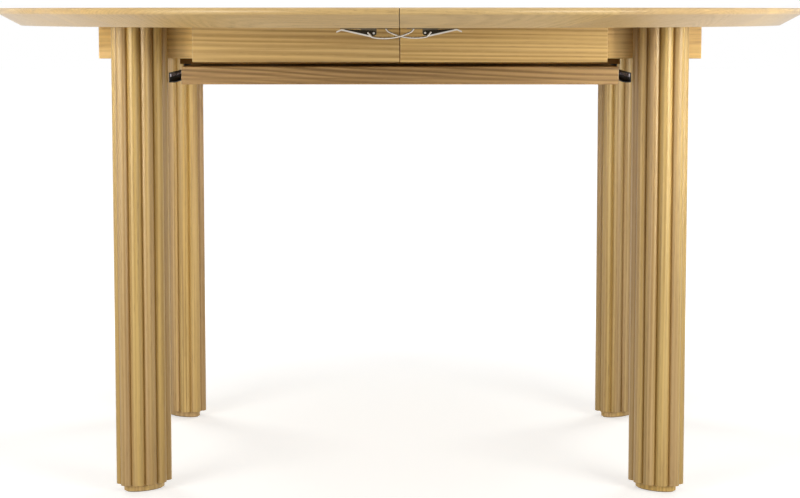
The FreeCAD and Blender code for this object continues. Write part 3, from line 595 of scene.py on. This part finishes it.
# Metal, plastic and felt
black_steel = coated("black_powder_coat", (0.012, 0.012, 0.013), roughness=0.5,
                     grain_scale=900.0, bump=0.0001)
bronze = coated("bronze_lacquer", (0.150, 0.066, 0.008), roughness=0.5,
                grain_scale=700.0, bump=0.0001, specular=0.15)
nylon = coated("black_nylon", (0.020, 0.020, 0.021), roughness=0.55,
               grain_scale=500.0, bump=0.0001)
felt = coated("pressed_felt", (0.30, 0.24, 0.17), roughness=0.95,
              grain_scale=1400.0, bump=0.0006)
zinc = steel("bright_zinc", (0.62, 0.63, 0.65), roughness=0.34,
             line_scale=(40.0, 900.0, 900.0), grime=0.35)
# The slide strip's ends are painted darker as shade
slide_zinc = steel("slide_zinc", (0.86, 0.80, 0.83), roughness=0.22,
                   line_scale=(900.0, 40.0, 900.0), grime=0.10, shaded_ends=(0.34, 0.31, 0.32))
browned = steel("browned_sheet", (0.16, 0.13, 0.09), roughness=0.42,
                line_scale=(300.0, 300.0, 300.0), grime=0.5)
bright = steel("bright_wire", (0.60, 0.56, 0.50), roughness=0.26,
               line_scale=(400.0, 400.0, 400.0), grime=0.4)
# The lever's dark colour is painted shade on its cheeks
lever = worn_lever_painted_shade("worn_lever_painted_shade", bright=(0.70, 0.66, 0.60), dark=(0.030, 0.024, 0.016))
SIDE_FINISHES = {
    "slide_bar_front": zinc, "slide_bar_back": zinc, "slide_screws": zinc, "leg_bolts": zinc,
    "latch_screws": zinc, "leaf_slide": slide_zinc, "cross_beam": black_steel,
    "hanger": black_steel, "runner": black_steel, "latch_base": browned, "keeper": browned,
    "latch_pin": bright, "latch_bail": bright, "latch_lever": lever, "rack": nylon, "glides": felt,
}
MIDDLE_FINISHES = {
    "channel_front": bronze, "channel_back": bronze, "gear_beam": black_steel, "gear_pin": zinc,
    "pinion": nylon,
}
for side in SIDES:
    for kind, material in SIDE_FINISHES.items():
        dress(nodes[kind + "_" + side], material)
for node, material in MIDDLE_FINISHES.items():
    dress(nodes[node], material)


def choose_faces(piece, wanted):
    """Edit mode with only those faces selected."""
    bpy.ops.object.mode_set(mode="EDIT")
    bpy.ops.mesh.select_mode(type="FACE")
    bpy.ops.mesh.select_all(action="DESELECT")
    bpy.ops.object.mode_set(mode="OBJECT")
    for face in piece.data.polygons:
        face.select = wanted(face)
    bpy.ops.object.mode_set(mode="EDIT")


def headed_rod(name, head, shank, chamfer):
    """Head that stands on z 0 with a chamfered rim, and a shank below it."""
    bpy.ops.object.select_all(action="DESELECT")
    bpy.ops.mesh.primitive_cylinder_add(vertices=ROUND_SIDES, radius=head[0], depth=head[1],
                                        location=(0.0, 0.0, head[1] / 2))
    piece = bpy.context.object
    piece.name = name
    bpy.ops.object.transform_apply()
    choose_faces(piece, lambda face: face.normal.z < -FACES_ALONG)
    bpy.ops.mesh.inset(thickness=head[0] - shank[0])
    bpy.ops.mesh.extrude_region_move(TRANSFORM_OT_translate={"value": (0.0, 0.0, -shank[1])})
    bpy.ops.object.mode_set(mode="OBJECT")
    choose_faces(piece, lambda face: face.normal.z > FACES_ALONG)
    bpy.ops.mesh.bevel(offset=chamfer, segments=CHAMFER_STEPS)
    bpy.ops.object.mode_set(mode="OBJECT")
    return piece


def cut_away(piece, tool):
    """Takes a tool's shape out of a piece."""
    cut = piece.modifiers.new("recess", "BOOLEAN")
    cut.object = tool
    cut.solver = "EXACT"
    bpy.context.view_layer.objects.active = piece
    bpy.ops.object.modifier_apply(modifier=cut.name)
    bpy.data.objects.remove(tool)


def socket_bolt():
    """Bolt with a hexagon socket in its head."""
    bolt = headed_rod("leg_bolt", BOLT_HEAD, BOLT_SHANK, BOLT_CHAMFER)
    bpy.ops.object.select_all(action="DESELECT")
    bpy.ops.mesh.primitive_cylinder_add(vertices=SOCKET_SIDES, radius=SOCKET_RADIUS,
                                        depth=2 * SOCKET_DEPTH, location=(0.0, 0.0, BOLT_HEAD[1]))
    cut_away(bolt, bpy.context.object)
    return bolt


def cross_screw():
    """Screw with a cross recess in its head."""
    screw = headed_rod("latch_screw", SCREW_HEAD, SCREW_SHANK, SCREW_CHAMFER)
    length, width = CROSS_SIZE
    for size in ((length, width), (width, length)):
        bpy.ops.object.select_all(action="DESELECT")
        bpy.ops.mesh.primitive_cube_add(size=1.0, location=(0.0, 0.0, SCREW_HEAD[1]),
                                        scale=(*size, 2 * CROSS_DEPTH))
        cut_away(screw, bpy.context.object)
    return screw


def set_fasteners(first, places, node, body):
    """Copies of a fastener, each at its place and turned about X, joined to show for a node."""
    bpy.ops.object.select_all(action="DESELECT")
    for place, turn in places:
        copy = bpy.data.objects.new(node + "_shown", first.data.copy())
        bpy.context.scene.collection.objects.link(copy)
        copy.location = place
        copy.rotation_euler.x = turn
        copy.select_set(True)
        bpy.context.view_layer.objects.active = copy
    bpy.ops.object.transform_apply()
    bpy.ops.object.join()
    piece = bpy.context.object
    bpy.ops.object.transform_apply()
    bpy.ops.object.shade_smooth_by_angle(angle=SHARP_ANGLE)
    piece.name = node + "_shown"
    dress(piece, zinc)
    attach(piece, body)
    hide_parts(node)


# Bolt heads face the middle of the table, and screw heads face down. Each half carries its own
# latch base and the keeper of the other half's latch
first_bolt = socket_bolt()
first_screw = cross_screw()
for side, sign in SIDES.items():
    bolt_places = []
    for end_sign in ENDS.values():
        turn = end_sign * math.pi / 2
        for height in BOLT_HEIGHTS:
            place = (sign * BOLT_PLACE[0], end_sign * BOLT_PLACE[1], height)
            bolt_places.append((place, turn))
    set_fasteners(first_bolt, bolt_places, "leg_bolts_" + side, side + "_half")
    other = "right" if side == "left" else "left"
    screw_places = [(sign * x, LATCH_ROWS[side]) for x in BASE_SCREWS_X]
    screw_places += [(sign * KEEPER_SCREW_X, LATCH_ROWS[other] + y) for y in KEEPER_SCREWS_Y]
    screw_places = [((x, y, TOP_UNDERSIDE_Z), math.pi) for x, y in screw_places]
    set_fasteners(first_screw, screw_places, "latch_screws_" + side, side + "_half")
bpy.data.objects.remove(first_bolt)
bpy.data.objects.remove(first_screw)


def seen_rays(tree):
    """1 for the rays that show a surface to the camera, straight or in metal and glass."""
    path = add(tree, "LightPath").outputs
    straight_or_glossy = calc(tree, "MAXIMUM", path["Is Camera Ray"], path["Is Glossy Ray"])
    return calc(tree, "MAXIMUM", straight_or_glossy, path["Is Transmission Ray"])


def white_floor():
    """Pale floor that looks white, keeps a soft shadow and is open to the view from below."""
    bpy.ops.object.select_all(action="DESELECT")
    place = (0.0, 0.0, cad_low.z - FLOOR_DROP)
    bpy.ops.mesh.primitive_plane_add(size=FLOOR_SIZE, location=place)
    floor = bpy.context.object
    floor.name = "floor"
    material = bpy.data.materials.new("white_floor")
    material.use_nodes = True
    tree = material.node_tree
    tree.nodes.remove(tree.nodes["Principled BSDF"])
    seen = seen_rays(tree)
    colour = mix(tree, seen, FLOOR_BOUNCE, FLOOR_SEEN)
    diffuse = add(tree, "BsdfDiffuse", {"Color": colour}).outputs[0]
    reach = add(tree, "VectorMath", {0: object_place(tree)}, operation="LENGTH").outputs["Value"]
    level = multiply_add(tree, smooth_step(tree, reach, *GLOW_REACH), FAR_GLOW_ADDED, NEAR_GLOW)
    glow = add(tree, "Emission", {"Strength": times(tree, seen, level)}).outputs[0]
    both = add(tree, "AddShader", {0: diffuse, 1: glow}).outputs[0]
    from_below = add(tree, "NewGeometry").outputs["Backfacing"]
    clear = add(tree, "BsdfTransparent").outputs[0]
    shown = add(tree, "MixShader", {0: from_below, 1: both, 2: clear}).outputs[0]
    tree.links.new(shown, tree.nodes["Material Output"].inputs["Surface"])
    floor.data.materials.append(material)


def white_world():
    """Even light all round, white where it is seen."""
    world = bpy.data.worlds.new("studio")
    world.use_nodes = True
    tree = world.node_tree
    background = tree.nodes["Background"]
    seen = seen_rays(tree)
    tree.links.new(mix(tree, seen, FILL_COLOUR, WHITE), background.inputs["Color"])
    tree.links.new(calc(tree, "MAXIMUM", seen, AMBIENT), background.inputs["Strength"])
    bpy.context.scene.world = world


def soft_box(name, power, place, target, size, colour=WHITE, spread=180.0, glare=True):
    """Square lamp that faces a point. One without glare lights a surface but isn't mirrored."""
    lamp = bpy.data.lights.new(name, "AREA")
    lamp.size = size
    lamp.energy = power
    lamp.color = colour
    lamp.spread = math.radians(spread)
    holder = bpy.data.objects.new(name, lamp)
    holder.location = place
    looks = Vector(target) - Vector(place)
    holder.rotation_euler = looks.to_track_quat("-Z", "Y").to_euler()
    holder.visible_camera = False
    holder.visible_glossy = glare
    bpy.context.scene.collection.objects.link(holder)


def side_lamp(name, side, lamp, power, glare=True):
    """Lamp on one side, mirrored from what is given for the right."""
    place, target = [(SIDES[side] * x, y, z) for x, y, z in (lamp["place"], lamp["target"])]
    soft_box(name + "_" + side, power, place, target, lamp["size"], KEY_COLOUR, lamp["spread"],
             glare)


def photo_camera():
    lens = bpy.data.cameras.new("camera")
    lens.sensor_fit = "HORIZONTAL"
    lens.sensor_width = SENSOR_WIDTH
    lens.lens = SENSOR_WIDTH * FOCAL_PIXELS / IMAGE_WIDTH
    lens.shift_y = LENS_SHIFT
    camera = bpy.data.objects.new("camera", lens)
    camera.location = CAMERA_PLACE
    camera.rotation_euler = (math.radians(90.0 - CAMERA_TILT), 0.0, math.radians(CAMERA_YAW))
    bpy.context.scene.collection.objects.link(camera)
    bpy.context.scene.camera = camera


white_floor()
white_world()
for side in SIDES:
    side_lamp("key", side, KEY_LAMP, KEY_POWER[side])
    side_lamp("corner", side, CORNER_LAMP, CORNER_POWER[side])
    side_lamp("back", side, BACK_LAMP, BACK_POWER, glare=False)
soft_box("top_light", TOP_LIGHT_POWER, **TOP_LAMP)
photo_camera()
bpy.context.scene.view_settings.view_transform = "Standard"
